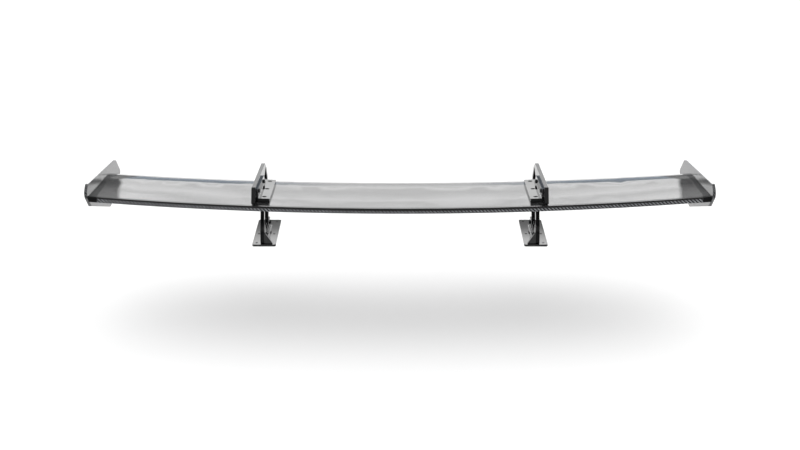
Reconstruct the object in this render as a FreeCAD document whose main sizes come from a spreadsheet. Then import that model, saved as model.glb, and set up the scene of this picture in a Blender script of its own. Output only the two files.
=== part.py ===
import FreeCAD, Part
import math
import os
import re

import Sketcher

# Racing rear wing: a bowed carbon blade hung from two swan-neck uprights on foot brackets.
# Millimetres and degrees. +Z is up and +Y is the way the car drives. Zero is on the mounting
# plane under the feet, midway between the outer foot holes. The left side is at negative X.

SIZES = {
    # blade
    "half_span": 692, "bow": 28.5, "incidence": 4.03, "tip_twist": 1.1,
    "wing_rear": -243.6, "wing_height": 153.1, "chord": 270, "hollow": 1,
    "nose_length": 85, "nose_depth": 17, "belly_length": 55, "belly_depth": 13,
    "edge_height": 12, "skin": 2, "bond": 0.2, "seam": 0.1,
    "strip_depth": 10, "tongue_end": 24, "cap_width": 19, "rib_width": 8,
    "front_spar_place": 150, "rear_spar_place": 80, "spar_width": 15, "spar_wall": 2,
    "spar_bond": 0.4, "rib_gap": 2,
    # end plates
    "plate_outer": 699, "plate_wall": 6.6,
    # uprights
    "upright_outer": 331.6, "upright_wall": 9, "edge_round": 0.8,
    "pivot_y": -82, "pivot_z": 162.4, "clamp_y": -195, "clamp_z": 178.8, "travel": 6,
    "slot_radius": 2.8, "slot_spare": 0.15, "track_radius": 5.1, "track_depth": 6.2,
    "bolt_hole": 2.75, "tapped_bore": 2.52,
    # feet
    "foot_centre": 323, "foot_width": 56, "foot_length": 170, "foot_wall": 5, "foot_round": 5,
    "foot_web": 4, "web_rear": -79.5, "web_front": 48, "web_rear_top": 33.4, "web_front_top": 27,
    "gusset_rear": -81, "gusset_wall": 5, "gusset_width": 15.6, "gusset_toe": 1.5,
    "weld_radius": 4,
    "outer_row": 341, "inner_row": 305, "row_rear": -73, "row_middle": -13, "row_front": 73,
    "foot_hole": 2.75, "foot_bolt_rear_y": -55, "foot_bolt_rear_z": 20,
    "foot_bolt_front_y": 33, "foot_bolt_front_z": 18.5,
    # wing brackets
    "bracket_start": 37, "bracket_length": 172, "bracket_inner": 293.5, "bracket_web": 4,
    "bracket_flange": 7.5, "bracket_roll": 0.95, "bracket_gap": 0.3, "bracket_rear_top": 30,
    "bracket_front_top": 26.5, "bracket_top_end": 138, "bracket_slope_end": 154,
    "bracket_slope_foot": 1.5, "corner_radius": 1, "pivot_bore": 2.55, "screw_line": 307,
    "screw_first": 17, "screw_second": 86, "screw_third": 156,
    # fasteners
    "bolt_radius": 2.5, "bolt_head": 4.75, "bolt_head_height": 2.8, "bolt_length": 12.5,
    "bolt_point": 0.5, "nut_radius": 4.62, "nut_height": 4.6,
    "screw_radius": 2.5, "screw_head": 5, "screw_length": 14, "socket_radius": 1.73,
    "socket_depth": 1.6, "screw_socket": 1.7, "head_sink": 0.1, "screw_bore": 2.75,
    "insert_disc": 9, "insert_disc_height": 1.5, "insert_radius": 4.5, "insert_length": 9,
    "insert_bore": 2.52, "insert_gap": 0.2,
    # how far joined solids run into each other, and how far cutting tools run past a piece
    "overlap": 1, "spare": 10, "long_bore": 30,
}

# Corners of the flat plates, each as (forward, up) with the radius it is rounded to.
UPRIGHT = {
    "heel": (-79, 5.5, 2), "toe": (46, 5.5, 6), "elbow": (85, 82, 26), "neck_low": (65, 127, 30),
    "neck_high": (43, 157, 24), "peak": (7, 178.3, 12), "tail_top": (-221, 195, 4),
    "tail_bottom": (-239.5, 161.2, 2.5), "saddle": (-82, 150.2, 30), "lip": (-11, 155.2, 10),
    "notch": (18, 166, 6), "throat_high": (48, 127, 16), "throat_low": (36, 108, 14),
    "ledge": (-39, 106, 12), "shin": (-74, 33, 25),
}
WINDOW = {
    "pane_heel": (-57, 26, 6), "pane_toe": (36, 26, 6), "pane_elbow": (64, 81, 9),
    "pane_top": (54, 93, 8), "pane_ledge": (-26, 93, 8),
}
END_PLATE = {
    "fin_rear_top": (-233.5, 207.4, 8), "fin_bulge": (-249.6, 195.5, 14),
    "fin_rear": (-250.6, 182, 14), "fin_rear_low": (-218, 149.5, 10), "fin_keel": (-22, 77.5, 32),
    "fin_nose": (119, 121, 7), "fin_brow": (71, 165.2, 12), "fin_top": (46, 173.1, 12),
}

doc = FreeCAD.newDocument("RacingRearWing")
sheet = doc.addObject("Spreadsheet::Sheet", "Sizes")
nodes = {}


def fill_sheet():
    """Writes every driving dimension into the sheet as a named cell."""
    cells = dict(SIZES)
    for corners in (UPRIGHT, WINDOW, END_PLATE):
        for name, (forward, up, radius) in corners.items():
            cells[name + "_y"] = forward
            cells[name + "_z"] = up
            cells[name + "_radius"] = radius
    for row, (name, value) in enumerate(cells.items(), start=1):
        sheet.set(f"A{row}", name)
        sheet.set(f"B{row}", str(value))
        sheet.setAlias(f"B{row}", name)
    doc.recompute()
    return set(cells)


ALIASES = fill_sheet()


def linked(text):
    """An expression with each dimension's name turned into a reference to its cell."""
    return re.sub(r"[a-z_]+", lambda w: "Sizes." + w[0] if w[0] in ALIASES else w[0], text)


def value(text):
    return float(sheet.evalExpression(linked(text)))


def bind(item, prop, text):
    item.setExpression(prop, linked(text))


def new_body(name):
    return doc.addObject("PartDesign::Body", name)


def new_sketch(body, name, plane, offset="0"):
    """A sketch on one of the body's own planes, moved along the plane's normal."""
    sketch = body.newObject("Sketcher::SketchObject", name)
    origin = next(f for f in body.Origin.OriginFeatures if f.Role == plane)
    sketch.AttachmentSupport = [(origin, "")]
    sketch.MapMode = "FlatFace"
    bind(sketch, "AttachmentOffset.Base.z", offset)
    return sketch


def pin_point(sketch, edge, end, across, up):
    """Ties one end of an edge to two expressions, measured from the sketch's zero."""
    for kind, text in (("DistanceX", across), ("DistanceY", up)):
        number = sketch.addConstraint(Sketcher.Constraint(kind, -1, 1, edge, end, value(text)))
        bind(sketch, f"Constraints[{number}]", text)


def draw_polygon(sketch, corners):
    places = [FreeCAD.Vector(value(across), value(up), 0) for across, up in corners]
    count = len(places)
    for i in range(count):
        sketch.addGeometry(Part.LineSegment(places[i], places[(i + 1) % count]))
    for i in range(count):
        sketch.addConstraint(Sketcher.Constraint("Coincident", i, 2, (i + 1) % count, 1))
    for i, (across, up) in enumerate(corners):
        pin_point(sketch, i, 1, across, up)


def draw_circles(sketch, centres, radius):
    for across, up in centres:
        centre = FreeCAD.Vector(value(across), value(up), 0)
        circle = Part.Circle(centre, FreeCAD.Vector(0, 0, 1), value(radius))
        edge = sketch.addGeometry(circle)
        pin_point(sketch, edge, 3, across, up)
        size = Sketcher.Constraint("Radius", edge, value(radius))
        number = sketch.addConstraint(size)
        bind(sketch, f"Constraints[{number}]", radius)


def pad(body, sketch, length, backwards=False):
    feature = body.newObject("PartDesign::Pad", sketch.Name + "_pad")
    feature.Profile = sketch
    feature.Reversed = backwards
    bind(feature, "Length", length)
    doc.recompute()


def pocket(body, sketch, backwards=False):
    """Cuts the sketch right through the body, and checks that something was cut."""
    before = body.Shape.Volume
    feature = body.newObject("PartDesign::Pocket", sketch.Name + "_cut")
    feature.Profile = sketch
    feature.Type = "ThroughAll"
    feature.Reversed = backwards
    doc.recompute()
    if body.Shape.Volume > before - 1:
        raise RuntimeError(f"{sketch.Name} cut nothing")


def revolve(body, sketch, axis):
    feature = body.newObject("PartDesign::Revolution", sketch.Name + "_turn")
    feature.Profile = sketch
    feature.ReferenceAxis = (sketch, [axis])
    feature.Angle = 360
    doc.recompute()


def fillet_edges(body, names, radius):
    """Rounds named edges or faces of the body as it stands."""
    base = body.Tip
    feature = body.newObject("PartDesign::Fillet", body.Name + "_round")
    feature.Base = (base, names)
    bind(feature, "Radius", radius)
    doc.recompute()


def edges_at(body, spot, axis):
    """Names of the straight edges that run along an axis through a spot on the other two."""
    found = []
    for number, edge in enumerate(body.Shape.Edges, start=1):
        ends = [v.Point for v in edge.Vertexes]
        if len(ends) != 2:
            continue
        run = ends[1] - ends[0]
        if run.Length < 1e-6 or abs(abs(run.normalize().dot(axis)) - 1) > 1e-6:
            continue
        gap = ends[0] - spot
        if (gap - axis * gap.dot(axis)).Length < 0.01:
            found.append(f"Edge{number}")
    return found


def round_plate_corners(body, corners):
    """Rounds a YZ plate's corners, each to its own radius."""
    for name in corners:
        spot = FreeCAD.Vector(0, value(name + "_y"), value(name + "_z"))
        names = edges_at(body, spot, FreeCAD.Vector(1, 0, 0))
        fillet_edges(body, names, name + "_radius")


LARGE_FACE = 1000


def soften_faces(body, axis, radius):
    """Breaks the sharp edges round the two large faces of a plate."""
    names = []
    for number, face in enumerate(body.Shape.Faces, start=1):
        flat = isinstance(face.Surface, Part.Plane)
        if flat and abs(face.Surface.Axis.dot(axis)) > 0.999 and face.Area > LARGE_FACE:
            names.append(f"Face{number}")
    fillet_edges(body, names, radius)


def node(name, item):
    item.Label = name
    nodes[name] = item


def both_sides(name, item):
    """Names an object as the left piece and mirrors it for the right one."""
    node("left_" + name, item)
    twin = doc.addObject("Part::Mirroring", "right_" + name)
    twin.Source = item
    twin.Normal = FreeCAD.Vector(1, 0, 0)
    twin.Base = FreeCAD.Vector(0, 0, 0)
    node("right_" + name, twin)


# ---- blade -------------------------------------------------------------------------------
# The blade's section is drawn from the top of its trailing edge, forward along the chord and
# up. It is flat on top with a slight hollow and full underneath, as a downforce wing is.

def top_line(along, inset):
    flat = value("chord - nose_length")
    return -value("hollow") * math.sin(math.pi * min(along / flat, 1)) - inset


def bottom_line(along, inset):
    belly = value("chord - belly_length")
    rise = value("nose_depth + belly_depth - edge_height")
    depth = value("nose_depth + belly_depth")
    return -depth + rise * ((belly - along) / belly) ** 2 + inset


def smooth(points):
    curve = Part.BSplineCurve()
    curve.interpolate([FreeCAD.Vector(along, up, 0) for along, up in points])
    return curve


def half_outline(start, inset, top):
    """The upper or the lower surface from a start along the chord to the seam at the nose."""
    length = value("nose_length" if top else "belly_length")
    depth = value("nose_depth" if top else "belly_depth")
    line = top_line if top else bottom_line
    side = 1 if top else -1
    flat_end = value("chord") - length
    flat = [start + (flat_end - start) * i / 6 for i in range(7)]
    points = [(along, line(along, inset)) for along in flat]
    last = math.acos(value("seam") / 2 / (depth - inset))
    for i in range(1, 8):
        turn = last * i / 7
        along = flat_end + (length - inset) * math.sin(turn)
        points.append((along, -value("nose_depth") + side * (depth - inset) * math.cos(turn)))
    return points


def loop_from(*strings):
    """Curves through each string of points, joined end to end by straight lines."""
    edges = []
    for i, points in enumerate(strings):
        if len(points) > 2:
            edges.append(smooth(points))
        elif len(points) == 2:
            edges.append(line_between(points[0], points[1]))
        following = strings[(i + 1) % len(strings)]
        if points[-1] != following[0]:
            edges.append(line_between(points[-1], following[0]))
    return edges


def line_between(one, other):
    return Part.LineSegment(FreeCAD.Vector(*one, 0), FreeCAD.Vector(*other, 0))


def blade_piece(name, edges, stations):
    """Lofts one section through stations along the span, following the bow and the twist."""
    body = new_body(name)
    sections = []
    for i, station in enumerate(stations):
        share = f"(({station}) / half_span) ^ 2"
        sketch = new_sketch(body, f"{name}_section_{i}", "YZ_Plane", station)
        turn = FreeCAD.Rotation(FreeCAD.Vector(0, 0, 1), -value("incidence"))
        sketch.AttachmentOffset = FreeCAD.Placement(FreeCAD.Vector(0, 0, 0), turn)
        bind(sketch, "AttachmentOffset.Base.x", "wing_rear")
        bind(sketch, "AttachmentOffset.Base.y", f"wing_height + bow * {share}")
        bind(sketch, "AttachmentOffset.Base.z", station)
        angle = f"-(incidence + tip_twist * {share}) * 1 deg"
        bind(sketch, "AttachmentOffset.Rotation.Angle", angle)
        sketch.addGeometry(edges)
        sections.append(sketch)
    loft = body.newObject("PartDesign::AdditiveLoft", name + "_loft")
    loft.Profile = sections[0]
    loft.Sections = sections[1:]
    doc.recompute()
    return body


WHOLE_SPAN = ("-half_span", "0", "half_span")
SPAR_SPAN = ("-(half_span - rib_width - rib_gap)", "0", "half_span - rib_width - rib_gap")
STRIP_SPAN = ("-(half_span - cap_width - bond)", "0", "half_span - cap_width - bond")
LEFT_CAP = ("-half_span", "-(half_span - cap_width / 2)", "-(half_span - cap_width)")
LEFT_RIB = ("-half_span", "-(half_span - rib_width / 2)", "-(half_span - rib_width)")


def make_skin(name, top):
    start = value("strip_depth + seam")
    outer = half_outline(start, 0, top)
    inner = half_outline(start, value("skin"), top)
    return blade_piece(name, loop_from(outer, inner[::-1]), WHOLE_SPAN)


def strip_section():
    """The closing strip of the trailing edge: a blunt rear face and a tongue between the skins."""
    depth = value("strip_depth")
    end = value("tongue_end")
    inset = value("skin + bond")
    corners = [(0, 0), (0, -value("edge_height")), (depth, bottom_line(depth, 0))]
    corners += [(depth, bottom_line(depth, inset)), (end, bottom_line(end, inset))]
    corners += [(end, top_line(end, inset)), (depth, top_line(depth, inset))]
    corners += [(depth, top_line(depth, 0))]
    return [line_between(corners[i - 1], corners[i]) for i in range(len(corners))]


def rib_section():
    start = value("tongue_end + rib_gap")
    inset = value("skin + bond")
    upper = half_outline(start, inset, True)
    lower = half_outline(start, inset, False)
    return loop_from(upper, lower[::-1])


def spar_section(place):
    """A channel, open towards the nose, between the skins."""
    rear = value(place)
    front = value(f"{place} + spar_width")
    wall = value("spar_wall")
    inset = value("skin + spar_bond")
    top = min(top_line(rear, inset), top_line(front, inset))
    floor = max(bottom_line(rear, inset), bottom_line(front, inset))
    corners = [(rear, top), (front, top), (front, top - wall), (rear + wall, top - wall)]
    corners += [(rear + wall, floor + wall), (front, floor + wall), (front, floor), (rear, floor)]
    return [line_between(corners[i - 1], corners[i]) for i in range(len(corners))]


def blade_place(station, along, up):
    """A point of the blade's section at a station along the span."""
    share = (station / value("half_span")) ** 2
    tilt = math.radians(value("incidence") + value("tip_twist") * share)
    forward = value("wing_rear") + along * math.cos(tilt) + up * math.sin(tilt)
    height = value("wing_height") + value("bow") * share
    return FreeCAD.Vector(station, forward, height - along * math.sin(tilt) + up * math.cos(tilt))


# ---- fasteners ---------------------------------------------------------------------------
# Each master stands on its own axis: the seat under the head is at zero and the head is above.

def turned(name, profile):
    """A solid of revolution about Z from (radius, height) expressions."""
    body = new_body(name)
    sketch = new_sketch(body, name + "_profile", "XZ_Plane")
    draw_polygon(sketch, profile)
    revolve(body, sketch, "V_Axis")
    return body


def hexagon(radius):
    turns = [f"{60 * i} deg" for i in range(6)]
    return [(f"{radius} * cos({turn})", f"{radius} * sin({turn})") for turn in turns]


def cut_socket(body, top, radius, depth):
    """A six-sided key socket in the top of a head."""
    sketch = new_sketch(body, body.Name + "_socket", "XY_Plane", top)
    draw_polygon(sketch, hexagon(radius))
    feature = body.newObject("PartDesign::Pocket", body.Name + "_socket_cut")
    feature.Profile = sketch
    bind(feature, "Length", depth)
    doc.recompute()


def make_bolt():
    """A button-head bolt: the head's top is turned in three flats."""
    profile = [("0", "0 - bolt_length"), ("bolt_radius - bolt_point", "0 - bolt_length")]
    profile += [("bolt_radius", "bolt_point - bolt_length"), ("bolt_radius", "0")]
    profile += [("bolt_head", "0"), ("bolt_head", "bolt_head_height * 0.35")]
    profile += [("bolt_head * 0.86", "bolt_head_height * 0.75")]
    profile += [("bolt_head * 0.55", "bolt_head_height"), ("0", "bolt_head_height")]
    body = turned("bolt_master", profile)
    cut_socket(body, "bolt_head_height", "socket_radius", "socket_depth")
    return body


def make_screw():
    profile = [("0", "0 - screw_length"), ("screw_radius", "0 - screw_length")]
    profile += [("screw_radius", "screw_radius - screw_head"), ("screw_head", "0"), ("0", "0")]
    body = turned("screw_master", profile)
    cut_socket(body, "0", "screw_socket", "socket_depth")
    return body


def make_nut():
    """A six-sided nut that slides in the track of the clamp's slot."""
    body = new_body("nut_master")
    sketch = new_sketch(body, "nut_hexagon", "XY_Plane")
    draw_polygon(sketch, hexagon("nut_radius"))
    pad(body, sketch, "nut_height")
    bore = new_sketch(body, "nut_bore_ring", "XY_Plane", "nut_height")
    draw_circles(bore, [("0", "0")], "tapped_bore")
    pocket(body, bore)
    return body


def make_insert():
    """A threaded insert: a disc bonded under the skin, with a barrel below it."""
    profile = [("insert_bore", "0 - insert_length"), ("insert_radius", "0 - insert_length")]
    profile += [("insert_radius", "0 - insert_disc_height")]
    profile += [("insert_disc", "0 - insert_disc_height")]
    profile += [("insert_disc", "0"), ("insert_bore", "0")]
    return turned("insert_master", profile)


def copies(name, master, places):
    """One or more separate solids, each a copy of a master at a place of its own."""
    group = doc.addObject("Part::Feature", name + "_set")
    solids = []
    for place in places:
        solid = master.Shape.copy()
        solid.Placement = place
        solids.append(solid)
    group.Shape = solids[0] if len(solids) == 1 else Part.makeCompound(solids)
    both_sides(name, group)


def along_x(across, forward, up, outwards=False):
    """A place whose axis points to the middle of the car, or away from it."""
    turn = -90 if outwards else 90
    spot = FreeCAD.Vector(across, forward, up)
    return FreeCAD.Placement(spot, FreeCAD.Rotation(FreeCAD.Vector(0, 1, 0), turn))


# ---- uprights and feet -------------------------------------------------------------------

def plate_corners(corners):
    return [(name + "_y", name + "_z") for name in corners]


def cut_slot(body, name, radius, start):
    """A curved slot centred on the pivot, cut outwards from a plane of the upright."""
    sketch = new_sketch(body, name, "YZ_Plane", start)
    centre = FreeCAD.Vector(value("pivot_y"), value("pivot_z"), 0)
    arm = FreeCAD.Vector(value("clamp_y"), value("clamp_z"), 0) - centre
    half = value(radius)
    first = math.atan2(arm.y, arm.x) - math.radians(value("slot_spare"))
    last = first + math.radians(value("travel + slot_spare * 2"))

    def spot(reach, turn):
        return centre + FreeCAD.Vector(reach * math.cos(turn), reach * math.sin(turn), 0)

    middle = (first + last) / 2
    inner, outer = arm.Length - half, arm.Length + half
    round_off = half / arm.Length
    sketch.addGeometry([
        Part.Arc(spot(outer, first), spot(outer, middle), spot(outer, last)),
        Part.Arc(spot(outer, last), spot(arm.Length, last + round_off), spot(inner, last)),
        Part.Arc(spot(inner, last), spot(inner, middle), spot(inner, first)),
        Part.Arc(spot(inner, first), spot(arm.Length, first - round_off), spot(outer, first)),
    ])
    pocket(body, sketch)


FOOT_BOLTS = [("foot_bolt_rear_y", "foot_bolt_rear_z"), ("foot_bolt_front_y", "foot_bolt_front_z")]


def make_upright():
    body = new_body("upright_plate")
    face = new_sketch(body, "upright_outline", "YZ_Plane", "0 - upright_outer")
    draw_polygon(face, plate_corners(UPRIGHT))
    pad(body, face, "upright_wall")
    round_plate_corners(body, UPRIGHT)
    window = new_sketch(body, "window_outline", "YZ_Plane", "upright_wall - upright_outer")
    draw_polygon(window, plate_corners(WINDOW))
    pocket(body, window)
    round_plate_corners(body, WINDOW)
    soften_faces(body, FreeCAD.Vector(1, 0, 0), "edge_round")
    # The clamp bolt travels in the narrow slot, and its nut in the wide track outside it.
    cut_slot(body, "slot_outline", "slot_radius", "upright_wall - upright_outer")
    cut_slot(body, "track_outline", "track_radius", "track_depth - upright_outer")
    holes = new_sketch(body, "upright_holes", "YZ_Plane", "upright_wall - upright_outer")
    draw_circles(holes, [("pivot_y", "pivot_z")] + FOOT_BOLTS, "tapped_bore")
    pocket(body, holes)
    both_sides("upright", body)


def make_foot():
    body = new_body("foot_blank")
    base = new_sketch(body, "foot_outline", "XY_Plane")
    inner, outer = "foot_width / 2 - foot_centre", "0 - foot_width / 2 - foot_centre"
    rear, front = "0 - foot_length / 2", "foot_length / 2"
    draw_polygon(base, [(outer, rear), (inner, rear), (inner, front), (outer, front)])
    pad(body, base, "foot_wall")
    for across, forward in ((outer, rear), (inner, rear), (inner, front), (outer, front)):
        spot = FreeCAD.Vector(value(across), value(forward), 0)
        fillet_edges(body, edges_at(body, spot, FreeCAD.Vector(0, 0, 1)), "foot_round")

    web = new_sketch(body, "foot_web_outline", "YZ_Plane", "upright_wall - upright_outer")
    draw_polygon(web, [("web_rear", "foot_wall - overlap"), ("web_front", "foot_wall - overlap"),
                       ("web_front", "web_front_top"), ("web_rear", "web_rear_top")])
    pad(body, web, "foot_web")
    web_face = value("upright_wall - upright_outer + foot_web")
    root = FreeCAD.Vector(web_face, 0, value("foot_wall"))
    fillet_edges(body, edges_at(body, root, FreeCAD.Vector(0, 1, 0)), "weld_radius")

    gusset = new_sketch(body, "gusset_outline", "XZ_Plane", "0 - gusset_rear")
    inside = "upright_wall - upright_outer + foot_web"
    draw_polygon(gusset, [(f"{inside} - overlap", "foot_wall - overlap"),
                          (f"{inside} + gusset_width", "foot_wall - overlap"),
                          (f"{inside} + gusset_width", "foot_wall + gusset_toe"),
                          (f"{inside} - overlap", "web_rear_top - overlap")])
    pad(body, gusset, "gusset_wall", backwards=True)

    holes = new_sketch(body, "foot_holes", "XY_Plane", "foot_wall")
    spots = [("0 - outer_row", row) for row in ("row_rear", "row_middle", "row_front")]
    spots += [("0 - inner_row", row) for row in ("row_middle", "row_front")]
    draw_circles(holes, spots, "foot_hole")
    pocket(body, holes)
    bolts = new_sketch(body, "foot_web_holes", "YZ_Plane", inside)
    draw_circles(bolts, FOOT_BOLTS, "bolt_hole")
    pocket(body, bolts)
    both_sides("foot_bracket", body)


# ---- wing brackets -----------------------------------------------------------------------
# The bracket is drawn flat: its flange's underside starts at zero, and the length runs forward.
# It is then tilted to the blade's top surface, and its bores are cut in place.

def bracket_tilt():
    side = "((upright_outer - upright_wall) / half_span) ^ 2"
    return f"incidence + tip_twist * {side}", f"bow * {side}"


def make_bracket_blank():
    body = new_body("bracket_blank")
    section = new_sketch(body, "bracket_section", "XZ_Plane")
    outer = "upright_wall - upright_outer + bracket_gap"
    face = f"{outer} + bracket_web"
    width = "(upright_outer - upright_wall - bracket_gap - bracket_inner)"
    flange_at_web = f"bracket_roll * ({width} - bracket_web) / {width} + bracket_flange"
    draw_polygon(section, [("0 - bracket_inner", "0"), ("0 - bracket_inner", "bracket_flange"),
                           (face, flange_at_web), (face, "bracket_rear_top"),
                           (outer, "bracket_rear_top"), (outer, "bracket_roll")])
    pad(body, section, "bracket_length", backwards=True)
    crest = new_sketch(body, "bracket_crest", "YZ_Plane", "spare - bracket_inner")
    high = "bracket_rear_top + spare"
    low = "bracket_flange + bracket_slope_foot"
    draw_polygon(crest, [("0 - spare", "bracket_rear_top"),
                         ("bracket_top_end", "bracket_front_top"),
                         ("bracket_slope_end", low), ("bracket_length + spare", low),
                         ("bracket_length + spare", high), ("0 - spare", high)])
    pocket(body, crest)
    corner = FreeCAD.Vector(value(face), 0, value(flange_at_web))
    fillet_edges(body, edges_at(body, corner, FreeCAD.Vector(0, 1, 0)), "corner_radius")
    tilt, rise = bracket_tilt()
    turn = FreeCAD.Rotation(FreeCAD.Vector(1, 0, 0), -value(tilt))
    body.Placement = FreeCAD.Placement(FreeCAD.Vector(0, 0, 0), turn)
    bind(body, "Placement.Rotation.Angle", f"-({tilt}) * 1 deg")
    bind(body, "Placement.Base.y", f"wing_rear + bracket_start * cos(({tilt}) * 1 deg)")
    height = f"wing_height + {rise} + bracket_gap - bracket_roll"
    bind(body, "Placement.Base.z", f"{height} - bracket_start * sin(({tilt}) * 1 deg)")
    doc.recompute()
    return body


def screw_place(blank, along, height):
    """A place on the flange's screw line, square to the flange, at a height above its underside."""
    width = value("upright_outer - upright_wall - bracket_gap - bracket_inner")
    roll = math.degrees(math.atan(value("bracket_roll") / width))
    across = value("screw_line - bracket_inner")
    spot = FreeCAD.Vector(-value("screw_line"), value(along), across * math.tan(math.radians(roll)))
    turn = FreeCAD.Rotation(FreeCAD.Vector(0, 1, 0), roll)
    lift = FreeCAD.Placement(FreeCAD.Vector(0, 0, height), FreeCAD.Rotation())
    return blank.Placement * FreeCAD.Placement(spot, turn) * lift


SCREWS = ("screw_first", "screw_second", "screw_third")


def cylinder(name, radius, length, place):
    tool = doc.addObject("Part::Cylinder", name)
    bind(tool, "Radius", radius)
    bind(tool, "Height", length)
    tool.Placement = place
    return tool


def countersink(name, place):
    tool = doc.addObject("Part::Cone", name)
    bind(tool, "Radius1", "screw_bore")
    bind(tool, "Radius2", "screw_head + 0.2")
    bind(tool, "Height", "screw_head + 0.2 - screw_bore")
    depth = FreeCAD.Vector(0, 0, -value("screw_head + 0.2 - screw_bore"))
    tool.Placement = place * FreeCAD.Placement(depth, FreeCAD.Rotation())
    return tool


def cut(name, base, tools):
    """The base less every tool, as one parametric cut."""
    fused = doc.addObject("Part::MultiFuse", name + "_tools")
    fused.Shapes = tools
    result = doc.addObject("Part::Cut", name)
    result.Base = base
    result.Tool = fused
    return result


def screw_bores(blank, name):
    """Tools that drill the three screw holes through the flange and the skin below it."""
    tools = []
    for along in SCREWS:
        low = screw_place(blank, along, -value("spare"))
        tools.append(cylinder(f"{name}_{along}_tool", "screw_bore", "spare * 2", low))
    return tools


def make_bracket(blank):
    tools = []
    for name, radius in (("pivot", "pivot_bore"), ("clamp", "bolt_hole")):
        start = FreeCAD.Vector(-value("upright_outer"), value(name + "_y"), value(name + "_z"))
        turn = FreeCAD.Rotation(FreeCAD.Vector(0, 1, 0), 90)
        place = FreeCAD.Placement(start, turn)
        tools.append(cylinder(f"{name}_bore_tool", radius, "long_bore", place))
    tools += screw_bores(blank, "flange")
    for along in SCREWS:
        top = screw_place(blank, along, value("bracket_flange"))
        tools.append(countersink(f"{along}_sink_tool", top))
    both_sides("wing_bracket", cut("wing_bracket_cut", blank, tools))


def make_upper_skin(blank):
    """The upper skin, holed for the bracket screws on both sides."""
    skin = make_skin("upper_skin_shell", True)
    left = doc.addObject("Part::MultiFuse", "left_skin_tools")
    left.Shapes = screw_bores(blank, "skin")
    right = doc.addObject("Part::Mirroring", "right_skin_tools")
    right.Source = left
    right.Normal = FreeCAD.Vector(1, 0, 0)
    node("wing_upper_skin", cut("upper_skin_cut", skin, [left, right]))


def make_blade(blank):
    make_upper_skin(blank)
    node("wing_lower_skin", make_skin("lower_skin_shell", False))
    node("trailing_edge_strip", blade_piece("closing_strip", strip_section(), STRIP_SPAN))
    for name in ("front_spar", "rear_spar"):
        node(name, blade_piece(name + "_channel", spar_section(name + "_place"), SPAR_SPAN))
    both_sides("tip_cap", blade_piece("cap_block", strip_section(), LEFT_CAP))


# The end plate's screws, as (along the chord, up) in the blade's tip section.
RIB_SCREWS = ((58, -11), (135, -14), (212, -15))


def rib_place(along, up, outwards):
    """A place on the blade's tip, its axis pointing out of the end plate."""
    spot = blade_place(-value("half_span"), along, up)
    spot.x = outwards
    return FreeCAD.Placement(spot, FreeCAD.Rotation(FreeCAD.Vector(0, 1, 0), -90))


def make_tips(screw):
    outer = -value("plate_outer")
    rib = blade_piece("tip_rib_block", rib_section(), LEFT_RIB)
    plate = new_body("end_plate_blank")
    face = new_sketch(plate, "end_plate_outline", "YZ_Plane", "0 - plate_outer")
    draw_polygon(face, plate_corners(END_PLATE))
    pad(plate, face, "plate_wall")
    round_plate_corners(plate, END_PLATE)
    soften_faces(plate, FreeCAD.Vector(1, 0, 0), "edge_round")
    bores, sinks, tapped = [], [], []
    for i, (along, up) in enumerate(RIB_SCREWS):
        inward = rib_place(along, up, outer - value("overlap") + value("long_bore"))
        bores.append(cylinder(f"plate_bore_{i}", "screw_bore", "long_bore", inward))
        tapped.append(cylinder(f"rib_bore_{i}", "insert_bore", "long_bore", inward))
        sinks.append(countersink(f"plate_sink_{i}", rib_place(along, up, outer)))
    both_sides("tip_rib", cut("tip_rib_cut", rib, tapped))
    both_sides("end_plate", cut("end_plate_cut", plate, bores + sinks))
    seat = outer + value("head_sink")
    heads = [rib_place(along, up, seat) for along, up in RIB_SCREWS]
    copies("end_plate_screws", screw, heads)


# ---- the whole wing ----------------------------------------------------------------------

def make_fasteners(blank, screw):
    bolt, insert = make_bolt(), make_insert()
    web = value("upright_wall - upright_outer + foot_web")
    gap = value("bracket_gap")
    feet = [along_x(web, value(forward), value(up)) for forward, up in FOOT_BOLTS]
    copies("foot_bolts", bolt, feet)
    # The pivot is screwed into the upright, so its head stands clear of the bracket that turns
    # on it. The clamp goes with the bracket, so its nut stands clear of the track it slides in.
    pivot = along_x(web + gap * 2, value("pivot_y"), value("pivot_z"))
    copies("pivot_bolt", bolt, [pivot])
    clamp = along_x(web + gap, value("clamp_y"), value("clamp_z"))
    copies("clamp_bolt", bolt, [clamp])
    floor = value("track_depth - upright_outer") - gap
    nut = along_x(floor, value("clamp_y"), value("clamp_z"), True)
    copies("clamp_nut", make_nut(), [nut])
    height = value("bracket_flange - head_sink")
    copies("bracket_screws", screw, [screw_place(blank, along, height) for along in SCREWS])
    under = -value("bracket_gap + hollow + skin + bond + insert_gap")
    copies("bracket_inserts", insert, [screw_place(blank, along, under) for along in SCREWS])


def check_and_write():
    """Stops on any failed object or bad shape, then writes each node to its own file."""
    doc.recompute()
    for item in doc.Objects:
        if {"Invalid", "Error"} & set(item.State):
            raise RuntimeError(f"{item.Name} failed: {item.State}")
    os.makedirs("parts", exist_ok=True)
    for name, item in nodes.items():
        shape = item.Shape
        if shape.isNull() or not shape.isValid() or not shape.Solids:
            raise RuntimeError(f"{name} has no valid solid")
        shape.exportStep(f"parts/{name}.step")
        box = shape.BoundBox
        print(f"{name}: {len(shape.Solids)} solids, {shape.Volume / 1000:.1f} cm3,",
              f"X {box.XMin:.1f}..{box.XMax:.1f} Y {box.YMin:.1f}..{box.YMax:.1f}",
              f"Z {box.ZMin:.1f}..{box.ZMax:.1f}")


make_foot()
make_upright()
bracket_blank = make_bracket_blank()
make_bracket(bracket_blank)
make_blade(bracket_blank)
screw_master = make_screw()
make_tips(screw_master)
make_fasteners(bracket_blank, screw_master)
check_and_write()
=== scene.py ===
import math

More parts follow.
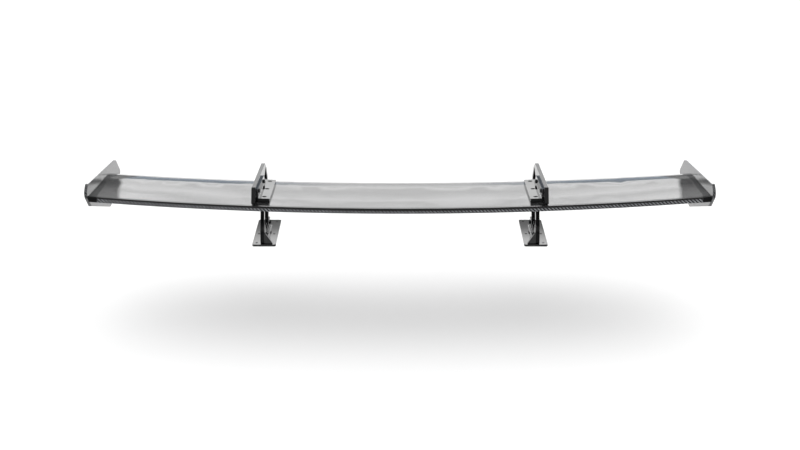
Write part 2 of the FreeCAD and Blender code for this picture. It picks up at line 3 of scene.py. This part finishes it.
import bmesh
import bpy
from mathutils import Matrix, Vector


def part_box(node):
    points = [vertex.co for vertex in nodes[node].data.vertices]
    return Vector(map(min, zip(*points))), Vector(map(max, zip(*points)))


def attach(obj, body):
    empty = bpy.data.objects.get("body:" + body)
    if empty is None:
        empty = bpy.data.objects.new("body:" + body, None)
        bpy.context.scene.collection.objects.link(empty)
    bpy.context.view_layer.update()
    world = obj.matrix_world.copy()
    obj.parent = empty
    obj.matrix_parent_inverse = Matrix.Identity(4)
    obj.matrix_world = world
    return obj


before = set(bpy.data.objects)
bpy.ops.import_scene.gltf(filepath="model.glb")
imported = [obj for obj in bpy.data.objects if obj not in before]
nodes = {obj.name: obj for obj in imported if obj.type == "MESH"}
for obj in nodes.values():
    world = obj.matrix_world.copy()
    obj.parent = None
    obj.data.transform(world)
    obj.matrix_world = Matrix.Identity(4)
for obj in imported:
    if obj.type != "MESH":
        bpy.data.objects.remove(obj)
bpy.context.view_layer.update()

# All lengths are in metres, and angles in degrees where a name says so.

# ---- node trees ----------------------------------------------------------------------------


class Tree:
    """A material's or a world's nodes, with short ways to add and join them."""

    def __init__(self, owner, output):
        owner.use_nodes = True
        self.tree = owner.node_tree
        self.tree.nodes.clear()
        self.output = self.add(output)

    def add(self, kind, **settings):
        node = self.tree.nodes.new("ShaderNode" + kind)
        for name, setting in settings.items():
            setattr(node, name, setting)
        return node

    def join(self, source, target):
        self.tree.links.new(source, target)

    def show(self, shader):
        """Puts a shader out as the owner's surface, in place of an earlier one."""
        self.join(shader.outputs[0], self.output.inputs["Surface"])

    def feed(self, socket, given):
        """Sets a socket to a plain value, or joins it to another node's output."""
        if isinstance(given, bpy.types.NodeSocket):
            self.join(given, socket)
        else:
            socket.default_value = given

    def math(self, operation, *inputs):
        node = self.add("Math", operation=operation)
        for socket, given in zip(node.inputs, inputs):
            self.feed(socket, given)
        return node.outputs[0]

    def times(self, first, second):
        return self.math("MULTIPLY", first, second)

    def dot(self, first, second):
        node = self.add("VectorMath", operation="DOT_PRODUCT")
        self.join(first, node.inputs[0])
        self.join(second, node.inputs[1])
        return node.outputs["Value"]

    def mix(self, factor, low, high, kind="RGBA"):
        node = self.add("Mix", data_type=kind)
        picked = [s for s in node.inputs if s.enabled]
        for socket, given in zip(picked, (factor, low, high)):
            self.feed(socket, given)
        return next(s for s in node.outputs if s.enabled)

    def spread(self, given, low, high, to_low=0.0, to_high=1.0):
        """A straight ramp from one range to another, held at its ends."""
        node = self.add("MapRange")
        for socket, part in zip(node.inputs, (given, low, high, to_low, to_high)):
            self.feed(socket, part)
        return node.outputs[0]

    def noise(self, place, scale, detail=4.0, roughness=0.5):
        node = self.add("TexNoise")
        self.join(place, node.inputs["Vector"])
        node.inputs["Scale"].default_value = scale
        node.inputs["Detail"].default_value = detail
        node.inputs["Roughness"].default_value = roughness
        return node.outputs["Fac"]

    def vary(self, noise, least=0.0, most=1.0):
        """Spreads the middle of a noise, where most of it lies, between two levels."""
        return self.spread(noise, 0.3, 0.7, least, most)

    def place(self):
        return self.add("TexCoord").outputs["Object"]

    def split(self, vector):
        node = self.add("SeparateXYZ")
        self.join(vector, node.inputs[0])
        return node.outputs[:3]

    def bump(self, height, depth, under=None):
        node = self.add("Bump")
        node.inputs["Strength"].default_value = 1.0
        node.inputs["Distance"].default_value = depth
        self.join(height, node.inputs["Height"])
        if under is not None:
            self.join(under, node.inputs["Normal"])
        return node.outputs[0]

    def ramp(self, given, stops):
        node = self.add("ValToRGB")
        ramp = node.color_ramp
        for position, level in stops[1:-1]:
            ramp.elements.new(position)
        for element, (position, level) in zip(ramp.elements, stops):
            element.position = position
            element.color = grey(level)
        self.join(given, node.inputs["Fac"])
        return node.outputs["Color"]


def grey(level, blue=0.0):
    """A grey as a colour, with its blue raised by a share and its green by half of that."""
    return (level, level * (1 + blue / 2), level * (1 + blue), 1)


def surface(slot_name, colour, roughness, **sockets):
    """A material for one of the record's slots, with its shader's plain values set."""
    material = bpy.data.materials.new(slot_name + "_look")
    tree = Tree(material, "OutputMaterial")
    shader = tree.add("BsdfPrincipled")
    tree.show(shader)
    tree.feed(shader.inputs["Base Color"], colour)
    tree.feed(shader.inputs["Roughness"], roughness)
    for name, given in sockets.items():
        tree.feed(shader.inputs[name.replace("_", " ")], given)
    return material, tree, shader


def edge_mask(tree, radius):
    """Near 1 on edges and near 0 on faces, from how far a rounded normal leans."""
    rounded = tree.add("Bevel", samples=4)
    rounded.inputs["Radius"].default_value = radius
    flat = tree.add("NewGeometry").outputs["Normal"]
    lean = tree.dot(rounded.outputs[0], flat)
    return tree.spread(lean, 0.995, 0.85), rounded.outputs[0]


# ---- carbon cloth --------------------------------------------------------------------------

TOW = 0.002            # width of one flat bundle of fibres
FLOAT = 4              # bundles in one repeat of a two-by-two twill
CROWN = 2.5            # how flat a bundle's middle is: 1 is a ridge, more is flatter
FIBRE_NOISE = 5200.0   # single fibres
CLOTH_NOISE = 9.0      # slow change of shade over the cloth
COAT_NOISE = 30.0      # long wave in the clear coat
COAT_WAVE = 0.00002    # depth of that wave
RESIN_TINT = (0.97, 1.0, 1.05)

STRIP_BOW = 0.0595     # height of the strip's bow over its middle, per metre out, squared
STRIP_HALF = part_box("trailing_edge_strip")[1].x
STRIP_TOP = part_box("trailing_edge_strip")[1].z - STRIP_BOW * STRIP_HALF ** 2
DARK_REFLECTION_MIDDLE = 0.0055    # width of the painted dark reflection on the strip, at the wing's middle
DARK_REFLECTION_TIP = 0.003        # and at its tips
DARK_REFLECTION_FADE = 0.0012


def cloth(tree, across, along):
    """A two-by-two twill: which way the top bundle runs, its crown and its own shade."""
    columns = tree.math("DIVIDE", across, TOW)
    rows = tree.math("DIVIDE", along, TOW)
    column = tree.math("FLOOR", columns)
    row = tree.math("FLOOR", rows)
    step = tree.math("FLOORED_MODULO", tree.math("ADD", column, row), FLOAT)
    warp = tree.math("LESS_THAN", step, FLOAT / 2 - 0.5)
    crowns = []
    for count in (columns, rows):
        swing = tree.math("MULTIPLY_ADD", tree.math("FRACT", count), 2.0, -1.0)
        fall = tree.math("POWER", tree.math("ABSOLUTE", swing), CROWN)
        crowns.append(tree.math("SUBTRACT", 1.0, fall))
    crown = tree.mix(warp, crowns[1], crowns[0], "FLOAT")
    bundle = tree.add("CombineXYZ")
    tree.join(tree.mix(warp, 0.0, column, "FLOAT"), bundle.inputs[0])
    tree.join(tree.mix(warp, row, 0.0, "FLOAT"), bundle.inputs[1])
    shade = tree.add("TexWhiteNoise", noise_dimensions="2D")
    tree.join(bundle.outputs[0], shade.inputs["Vector"])
    return warp, crown, shade.outputs["Value"]


def carbon(slot_name, weave, dark, light, coat_roughness, depth, gloss=1.5, rim=False):
    """Twill cloth in resin. The clear coat over it is smooth, with a faint long wave.

    Dark and light are the levels of bundles that run across and along; the light level is
    painted sheen, as both are the same fibre. Depth is how far the weave stands out under the
    coat, gloss is the coat's index, and rim adds the strip's painted dark reflection.
    """
    material, tree, shader = surface(slot_name, grey(dark), 0.4, Coat_Weight=1.0,
                                     Coat_Roughness=coat_roughness, Coat_IOR=gloss, IOR=gloss,
                                     Anisotropic=0.75, Metallic=0.6,
                                     Specular_IOR_Level=0.15, Specular_Tint=grey(0.25))
    place = tree.place()
    x, y, z = tree.split(place)
    warp, crown, shade = cloth(tree, *weave(tree, x, y, z))
    fibres = tree.noise(place, FIBRE_NOISE, 2.0, 0.7)
    # Painted sheen: bundles that run along get the lighter level.
    level = tree.mix(warp, dark, light, "FLOAT")
    level = tree.times(level, tree.spread(crown, 0.0, 1.0, 0.25, 1.0))
    level = tree.times(level, tree.spread(shade, 0.0, 1.0, 0.82, 1.18))
    level = tree.times(level, tree.vary(fibres, 0.85, 1.15))
    level = tree.times(level, tree.vary(tree.noise(place, CLOTH_NOISE), 0.93, 1.07))
    # Painted dark reflection: the colour is darkened in a band along the strip's top edge.
    if rim:
        level = tree.times(level, painted_dark_reflection(tree, x, z))
    colour = tree.add("CombineColor")
    for socket, tint in zip(colour.inputs, RESIN_TINT):
        tree.join(tree.times(level, tint), socket)
    tree.join(colour.outputs[0], shader.inputs["Base Color"])
    tree.join(tree.mix(warp, 0.34, 0.42, "FLOAT"), shader.inputs["Roughness"])
    height = tree.math("MULTIPLY_ADD", fibres, 0.15, crown)
    tree.join(tree.bump(height, depth), shader.inputs["Normal"])
    wave = tree.noise(place, COAT_NOISE, 1.0)
    tree.join(tree.bump(wave, COAT_WAVE), shader.inputs["Coat Normal"])
    run = tree.mix(warp, (1.0, 0.0, 0.0), (0.0, 1.0, 0.02), "VECTOR")
    tree.join(run, shader.inputs["Tangent"])
    return material


def flat_weave(tree, x, y, z):
    """Cloth laid level, over the skins."""
    return x, y


def side_weave(tree, x, y, z):
    """Cloth laid upright, over the end plates."""
    return tree.math("ADD", x, y), z


def strip_weave(tree, x, y, z):
    """Follows the strip's bow, over its rear face and round onto its top."""
    return x, tree.math("SUBTRACT", tree.math("ADD", y, z), bow(tree, x))


def bow(tree, x):
    return tree.times(tree.times(x, x), STRIP_BOW)


def painted_dark_reflection(tree, x, z):
    """Painted dark reflection along the strip's upper edge, less so towards its tips."""
    down = tree.math("SUBTRACT", STRIP_TOP, tree.math("SUBTRACT", z, bow(tree, x)))
    width = tree.spread(tree.math("ABSOLUTE", x), 0.0, STRIP_HALF, DARK_REFLECTION_MIDDLE, DARK_REFLECTION_TIP)
    return tree.spread(tree.math("SUBTRACT", down, width), 0.0, DARK_REFLECTION_FADE, 0.08, 1.0)


# ---- coatings and metals -------------------------------------------------------------------

COATING_EDGE = 0.0006   # how far in from an edge its coating rubs thin
COATING_WORN = 0.09     # level of the worn coating
METAL_EDGE = 0.0003
METAL_GRAIN = 0.00003   # depth of the tool marks
METAL_STRETCH = 14.0    # how much finer those marks are from one to the next than along


def coating(slot_name, level, roughness, peel, ior):
    """Black powder coat: a fine orange peel, dust in the gloss, paler where edges rub."""
    material, tree, shader = surface(slot_name, grey(level), roughness, IOR=ior)
    place = tree.place()
    edges, rounded = edge_mask(tree, COATING_EDGE)
    patch = tree.noise(place, 45.0, 6.0, 0.65)
    worn = tree.times(edges, tree.spread(patch, 0.45, 0.75, 0.0, 0.5))
    shade = tree.mix(tree.vary(tree.noise(place, 14.0)),
                     grey(level * 0.8, 0.1), grey(level * 1.25, 0.15))
    tree.join(tree.mix(worn, shade, grey(COATING_WORN)), shader.inputs["Base Color"])
    dust = tree.noise(place, 25.0, 5.0, 0.6)
    dull = tree.spread(dust, 0.35, 0.7, roughness * 0.7, roughness * 1.5)
    tree.join(tree.math("MULTIPLY_ADD", worn, 0.2, dull), shader.inputs["Roughness"])
    fine = tree.noise(place, 900.0, 2.0)
    tree.join(tree.bump(fine, peel, rounded), shader.inputs["Normal"])
    return material


def metal(slot_name, level, roughness, grain, blue=0.0, rim=1.0):
    """Turned metal. The rim is how bright it gets where it is seen at a low angle."""
    material, tree, shader = surface(slot_name, grey(level), roughness, Metallic=1.0,
                                     Specular_Tint=grey(rim))
    place = tree.place()
    edges, rounded = edge_mask(tree, METAL_EDGE)
    patch = tree.spread(tree.noise(place, 160.0, 5.0, 0.6), 0.35, 0.7)
    shade = tree.mix(patch, grey(level * 0.8, blue), grey(level * 1.2, blue))
    bright = grey(level * 2 + 0.1)
    tree.join(tree.mix(tree.times(edges, 0.6), shade, bright), shader.inputs["Base Color"])
    dull = tree.spread(patch, 0.0, 1.0, roughness * 0.8, roughness * 1.25)
    tree.join(dull, shader.inputs["Roughness"])
    stretched = tree.add("Mapping")
    tree.join(place, stretched.inputs["Vector"])
    stretched.inputs["Scale"].default_value = (1.0, 1.0, METAL_STRETCH)
    fine = tree.noise(stretched.outputs[0], grain, 3.0, 0.7)
    tree.join(tree.bump(fine, METAL_GRAIN, rounded), shader.inputs["Normal"])
    return material


# In each carbon look, the second level paints a sheen on the bundles that run along.
looks = {
    "carbon_skin": carbon("carbon_skin", flat_weave, 0.008, 0.04, 0.008, 0.00005),
    # rim=True paints a dark reflection along the strip's top edge.
    "carbon_strip": carbon("carbon_strip", strip_weave, 0.004, 0.24, 0.05, 0.00012, 1.25,
                           rim=True),
    "carbon_plate": carbon("carbon_plate", side_weave, 0.003, 0.09, 0.03, 0.0001, 1.38),
    "carbon_inside": carbon("carbon_inside", side_weave, 0.05, 0.12, 0.35, 0.0001),
    "gloss_black_plate": coating("gloss_black_plate", 0.004, 0.07, 0.000005, 1.22),
    "gloss_black_bracket": coating("gloss_black_bracket", 0.006, 0.03, 0.0000015, 1.42),
    "black_cap": coating("black_cap", 0.004, 0.4, 0.00002, 1.15),
    "bare_aluminium": metal("bare_aluminium", 0.75, 0.32, 400.0),
    "black_fastener": metal("black_fastener", 0.03, 0.4, 700.0, 0.1, 0.08),
}
for node in nodes.values():
    for i, given in enumerate(node.data.materials):
        node.data.materials[i] = looks[given.name]

# ---- welds ---------------------------------------------------------------------------------

BEAD = 0.0034           # how far a bead reaches over each of the two plates it joins
RIPPLE = 0.0026         # from one crescent of the bead to the next
RIPPLE_LAG = 0.35       # how far a crescent's middle trails its ends, in ripples
RIPPLE_DEPTH = 0.07     # as a share of the bead's reach
WANDER = 700            # slow unevenness along the bead, in radians per metre
WANDER_SHARE = 0.3      # and its size beside a crescent's
HOLLOW = 0.22           # how far the bead's face dips, as a share of its reach
END_SIZE = 0.25         # the bead's size at its very ends
RING_STEP = 0.0004      # between cross-sections
TURNS = 8               # steps round the bead's face

# These repeat part.py's sizes, which the frame's boxes don't give.
UPRIGHT_THICK = 0.009
WEB_THICK = 0.004
FOOT_THICK = 0.005
WELD_REAR = -0.0705     # just ahead of the gusset
WELD_FRONT = 0.048


def weld(name, start, end, first, second):
    """A rippled bead in the corner of two plates, which lie along first and second."""
    start, end, first, second = (Vector(v) for v in (start, end, first, second))
    run = (end - start).normalized()
    length = (end - start).length
    rings = round(length / RING_STEP)
    points, faces = [], []
    for i in range(rings + 1):
        along = length * i / rings
        fade = min(1.0, along / BEAD + END_SIZE, (length - along) / BEAD + END_SIZE)
        for j in range(TURNS + 1):
            angle = math.pi / 2 * j / TURNS
            middle = math.sin(2 * angle)
            phase = math.pi * (along / RIPPLE + RIPPLE_LAG * middle)
            uneven = abs(math.sin(phase)) + WANDER_SHARE * math.sin(along * WANDER)
            reach = BEAD * fade * (1 - HOLLOW * middle + RIPPLE_DEPTH * middle * uneven)
            spot = start + run * along
            points.append(spot + (first * math.cos(angle) + second * math.sin(angle)) * reach)
        points.append(start + run * along)
    width = TURNS + 2
    for i in range(rings):
        for j in range(width):
            a, b = i * width + j, i * width + (j + 1) % width
            faces.append((a, b, b + width, a + width))
    faces.append(tuple(range(width))[::-1])
    faces.append(tuple(range(rings * width, (rings + 1) * width)))
    mesh = bpy.data.meshes.new(name)
    mesh.from_pydata(points, [], faces)
    piece = bpy.data.objects.new(name, mesh)
    bpy.context.scene.collection.objects.link(piece)
    outward = bmesh.new()
    outward.from_mesh(mesh)
    bmesh.ops.recalc_face_normals(outward, faces=outward.faces)
    outward.to_mesh(mesh)
    outward.free()
    for face in mesh.polygons:
        face.use_smooth = len(face.vertices) == 4
    mesh.materials.append(looks["gloss_black_bracket"])
    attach(piece, "mount")


def make_welds():
    """A bead along the root of each foot's web, on its inner face."""
    for side, hand in (("left", -1), ("right", 1)):
        outer = abs(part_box(side + "_upright")[0 if hand < 0 else 1].x)
        face = (outer - UPRIGHT_THICK - WEB_THICK) * hand
        weld(side + "_web_weld", (face, WELD_REAR, FOOT_THICK), (face, WELD_FRONT, FOOT_THICK),
             (-hand, 0, 0), (0, 0, 1))


make_welds()

# ---- floor ---------------------------------------------------------------------------------

FLOOR_REACH = 30.0
FLOOR_DROP = 0.16       # below the feet
FLOOR_LEVEL = 0.8


def make_floor():
    """A pale floor that is clear from below, so that the wing's underside can be seen."""
    mesh = bpy.data.meshes.new("studio_floor")
    corners = [(x * FLOOR_REACH, y * FLOOR_REACH, -FLOOR_DROP)
               for x, y in ((-1, -1), (1, -1), (1, 1), (-1, 1))]
    mesh.from_pydata(corners, [], [(0, 1, 2, 3)])
    floor = bpy.data.objects.new("studio_floor", mesh)
    bpy.context.scene.collection.objects.link(floor)
    material, tree, shader = surface("studio_floor", grey(FLOOR_LEVEL), 0.9,
                                     Specular_IOR_Level=0.1)
    sides = tree.add("MixShader")
    tree.join(tree.add("NewGeometry").outputs["Backfacing"], sides.inputs["Fac"])
    tree.join(shader.outputs[0], sides.inputs[1])
    tree.join(tree.add("BsdfTransparent").outputs[0], sides.inputs[2])
    tree.show(sides)
    mesh.materials.append(material)


# ---- light ---------------------------------------------------------------------------------

# Brightness by how high up the sky is, as (height, level).
# Ahead of the wing stands a pale panel, dim at its foot and with two darker seams across it.
# Over it are a gap and then the lower edge of a soft box.
PANEL = ((0.0, 0.9), (0.15, 1.6), (0.165, 2.25), (0.179, 1.75), (0.189, 2.3), (0.211, 1.85),
         (0.25, 2.2), (0.29, 0.5), (0.346, 0.5), (0.354, 1.1), (0.3605, 3.5), (0.45, 3.2),
         (0.5, 1.7))
# Past the panel's sides the studio is dark up to the soft box, and behind the camera it is dim.
BESIDE = ((0.0, 0.15), (0.164, 0.56), (0.195, 0.14), (0.25, 0.3), (0.347, 0.6), (0.358, 2.6),
          (0.45, 2.4), (0.5, 1.7))
BEHIND = ((0.0, 0.2), (0.2, 0.35), (0.5, 1.6))
RAMP_TOP = 0.5
BRIGHTEST = 3.5

# A lean is how far aside a direction points for each step forward. Colours are shares of
# BRIGHTEST, and each pair is where a change begins and ends.
PANEL_SIDE = (0.169, 0.172)
DUSK = (0.15, 0.175, 0.205, 1)     # blue shade low on the panel, from near its middle outwards
DUSK_LEAN = (0.04, 0.11)
DUSK_HEIGHT = (0.162, 0.146)
SKIRT = (0.95, 0.95, 0.95, 1)      # low pale screens that the end plates' top edges mirror
SKIRT_LEAN = (0.195, 0.205)
SKIRT_HEIGHT = (0.14, 0.12)
FORWARD = (0.0, 0.3)
BACKDROP = (1.0, 1.0, 1.0, 1)


def sky_ramp(tree, height, stops):
    share = tree.spread(height, 0.0, RAMP_TOP)
    return tree.ramp(share, [(place / RAMP_TOP, level / BRIGHTEST) for place, level in stops])


def make_world():
    """The studio as a sky that lights the wing. The camera itself sees a white backdrop."""
    world = bpy.data.worlds.new("studio")
    bpy.context.scene.world = world
    tree = Tree(world, "OutputWorld")
    aside, forward, height = tree.split(tree.add("TexCoord").outputs["Generated"])
    lean = tree.math("DIVIDE", tree.math("ABSOLUTE", aside),
                     tree.math("MAXIMUM", forward, 0.05))
    dusk = tree.times(tree.spread(lean, *DUSK_LEAN), tree.spread(height, *DUSK_HEIGHT))
    panel = tree.mix(dusk, sky_ramp(tree, height, PANEL), DUSK)
    skirt = tree.times(tree.spread(lean, *SKIRT_LEAN), tree.spread(height, *SKIRT_HEIGHT))
    beside = tree.mix(skirt, sky_ramp(tree, height, BESIDE), SKIRT)
    front = tree.mix(tree.spread(lean, *PANEL_SIDE), panel, beside)
    sky = tree.mix(tree.spread(forward, *FORWARD), sky_ramp(tree, height, BEHIND), front)
    seen = tree.add("LightPath").outputs["Is Camera Ray"]
    background = tree.add("Background")
    tree.join(tree.mix(seen, sky, BACKDROP), background.inputs["Color"])
    background.inputs["Strength"].default_value = BRIGHTEST
    tree.show(background)


# ---- camera --------------------------------------------------------------------------------

CAMERA_BACK = 3.106
CAMERA_UP = 1.192
CAMERA_TILT = 69.37     # degrees from looking straight down
LENS = 61.56            # mm
SENSOR = 36.0           # mm


def make_camera():
    """Behind the wing and above it, square to its trailing edge."""
    data = bpy.data.cameras.new("camera")
    camera = bpy.data.objects.new("camera", data)
    bpy.context.scene.collection.objects.link(camera)
    camera.location = (0.0, -CAMERA_BACK, CAMERA_UP)
    camera.rotation_euler = (math.radians(CAMERA_TILT), 0.0, 0.0)
    data.lens = LENS
    data.sensor_width = SENSOR
    bpy.context.scene.camera = camera


make_floor()
make_world()
make_camera()
bpy.context.scene.view_settings.view_transform = "Standard"
